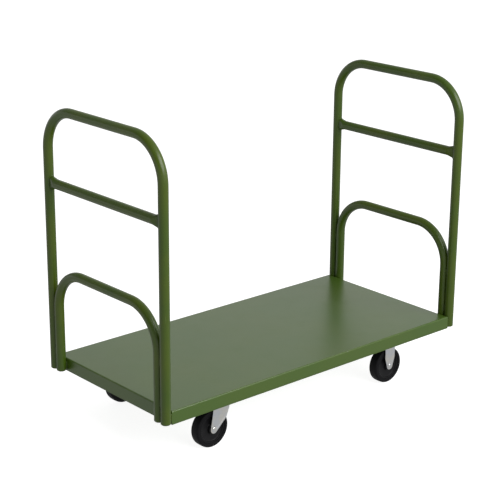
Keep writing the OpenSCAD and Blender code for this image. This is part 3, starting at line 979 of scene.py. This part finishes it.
# %% Fasten the casters to the channels
bolt_low, bolt_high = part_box("caster_bolts")
nut_low, nut_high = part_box("caster_nuts")
washer_low, washer_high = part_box("caster_washers")
plate_centre = middle("rear_left_top_plate")
BOLT_FLATS = 13 * MM
WASHER_R = 8 * MM
bolt_span_x = washer_high.x - WASHER_R - abs(plate_centre.x)
bolt_span_y = washer_high.y - WASHER_R - abs(plate_centre.y)
bolts = Shape()
nuts = Shape()
washers = Shape()
for end in (-1, 1):
    for side in (-1, 1):
        for sx in (-1, 1):
            for sy in (-1, 1):
                at = Vector((end * abs(plate_centre.x) + sx * bolt_span_x,
                             side * abs(plate_centre.y) + sy * bolt_span_y, 0))
                hex_block(bolts, at, "z", BOLT_FLATS, bolt_low.z, washer_low.z)
                bolts.skin(turned([(3.95 * MM, washer_low.z), (3.95 * MM, nut_low.z + 1 * MM)],
                                  at, "z", 24))
                thread(bolts, at, "z", 4 * MM, nut_low.z, bolt_high.z, 1.25 * MM)
                hex_block(nuts, at, "z", BOLT_FLATS, nut_low.z, nut_high.z)
                rim = [(4.1, 0), (7.7, 0), (8, 0.3), (8, 1.3), (7.7, 1.6), (4.1, 1.6)]
                rim = [(r * MM, washer_low.z + h * MM) for r, h in rim]
                washers.skin(turned(rim, at, "z", 40), loop=True)
for shape, node in ((bolts, "caster_bolts"), (nuts, "caster_nuts"), (washers, "caster_washers")):
    made = shape.piece(node + "_turned", bright_zinc, "chassis", "bright_zinc", sharp=28)
    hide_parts(node)

# %% [markdown]
# ## Axle bolts
#
# An axle bolt has a low domed head on the right of its wheel and a hexagonal nut on the
# left. The dome is turned from a short profile, and the nut and the thread come from the
# helpers above. The bolts of the rear casters ride with their forks.

# %% Fit the axle bolts and nuts
for wheel in WHEELS:
    holder = "chassis" if wheel.startswith("front") else wheel + "_swivel"
    low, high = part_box(wheel + "_axle_bolt")
    nut_low, nut_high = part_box(wheel + "_axle_nut")
    flats = nut_high.z - nut_low.z
    at = Vector((axle[wheel].x, 0, axle[wheel].z))
    bolt = Shape()
    dome = ((4.6, 0), (6.4, 0.2), (7.7, 0.7), (8.6, 1.4), (9, 2.1), (9, 2.5))
    bolt.skin(turned([(r * MM, low.y + h * MM) for r, h in dome], at, "y", 48))
    bolt.skin(turned([(4.95 * MM, low.y + 2 * MM), (4.95 * MM, nut_low.y + 1 * MM)], at, "y", 32))
    thread(bolt, at, "y", 5 * MM, nut_low.y, high.y, 1.5 * MM)
    made = bolt.piece(wheel + "_axle_bolt_turned", bright_zinc, holder, "bright_zinc", sharp=28)
    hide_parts(wheel + "_axle_bolt")
    nut = Shape()
    hex_block(nut, at, "y", flats, nut_low.y, nut_high.y)
    made = nut.piece(wheel + "_axle_nut_turned", bright_zinc, holder, "bright_zinc", sharp=28)
    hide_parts(wheel + "_axle_nut")

# %% [markdown]
# ## Camera, light and floor
#
# The cart is seen from its rear right corner, from above the handles, through a long
# lens that keeps its uprights nearly parallel. The light is a pale room, brighter at its
# front end and near the horizon, with one large soft box hung high on the right. So the
# long side of the deck is brighter than its end, and the gloss has something to reflect.
# The floor glows white. It is hidden from the rays that light and reflect, because its
# bounce would wash out the undersides, and its glow hides all but a faint shadow. What
# comes from below is an even, dimmer light instead.

# %% Place the camera
CAMERA_AT = Vector((-3.0797, -3.4224, 2.0048))
YAW, PITCH, ROLL = (math.radians(a) for a in (41.526, 18.018, 0.450))
ahead = Vector(
    (math.sin(YAW) * math.cos(PITCH), math.cos(YAW) * math.cos(PITCH), -math.sin(PITCH))
)
level = Vector((math.cos(YAW), -math.sin(YAW), 0))
above = level.cross(ahead)
right = level * math.cos(ROLL) + above * math.sin(ROLL)
up = above * math.cos(ROLL) - level * math.sin(ROLL)
lens = bpy.data.cameras.new("camera")
lens.sensor_width = 36
lens.lens = 103.67
camera = bpy.data.objects.new("camera", lens)
turn = Matrix((right, up, -ahead)).transposed().to_4x4()
camera.matrix_world = Matrix.Translation(CAMERA_AT) @ turn
scene.collection.objects.link(camera)
scene.camera = camera
print("camera", [round(v, 3) for v in CAMERA_AT])


# %% Hang the lights and lay the floor
def softbox(name, at, aim, width, height, watts):
    """A rectangular area light that faces a point."""
    light = bpy.data.lights.new(name, "AREA")
    light.shape = "RECTANGLE"
    light.size = width
    light.size_y = height
    light.energy = watts
    made = bpy.data.objects.new(name, light)
    made.location = at
    made.rotation_euler = (Vector(aim) - Vector(at)).to_track_quat("-Z", "Y").to_euler()
    scene.collection.objects.link(made)


class Wall(Finish):
    """The light of the room, written like a finish. Its coordinates are a direction."""

    def __init__(self, world):
        self.tree = world.node_tree
        self.shader = self.tree.nodes["Background"]
        way = self.node("ShaderNodeTexCoord", output="Generated")
        self.place(way)


softbox("key_light", (0.8, -5.2, 4.6), (0, 0, 0.4), width=6.5, height=4.2, watts=490)

room = bpy.data.worlds.new("white_room")
room.use_nodes = True
wall = Wall(room)
side = wall.x * 0.3 + 0.42
sky = side + (1 - side) * (1 - wall.z.step(0.03, 0.3))
ground = 0.6
wall.feed(wall.shader.inputs["Strength"], (sky - ground) * wall.z.step(-0.1, 0) + ground)
wall.feed(wall.shader.inputs["Color"], (1, 1, 1))
scene.world = room
scene.view_settings.view_transform = "Standard"


FLOOR_R = 40


def studio_floor():
    """A wide white disc, a hair under the tyres."""
    white = Finish("studio_floor")
    paint = white.done(
        Base_Color=(0.4, 0.4, 0.4),
        Roughness=white.noise(900, 2.0) * 0.05 + 0.85,
        Emission_Color=(1, 1, 1),
        Emission_Strength=0.9,
    )
    mesh = bpy.data.meshes.new("floor")
    rim = circle(FLOOR_R, 96)
    mesh.from_pydata([(a, b, -0.4 * MM) for a, b in rim], [], [tuple(range(len(rim)))])
    mesh.materials.append(paint)
    made = bpy.data.objects.new("floor", mesh)
    scene.collection.objects.link(made)
    made.visible_diffuse = False
    made.visible_glossy = False


studio_floor()
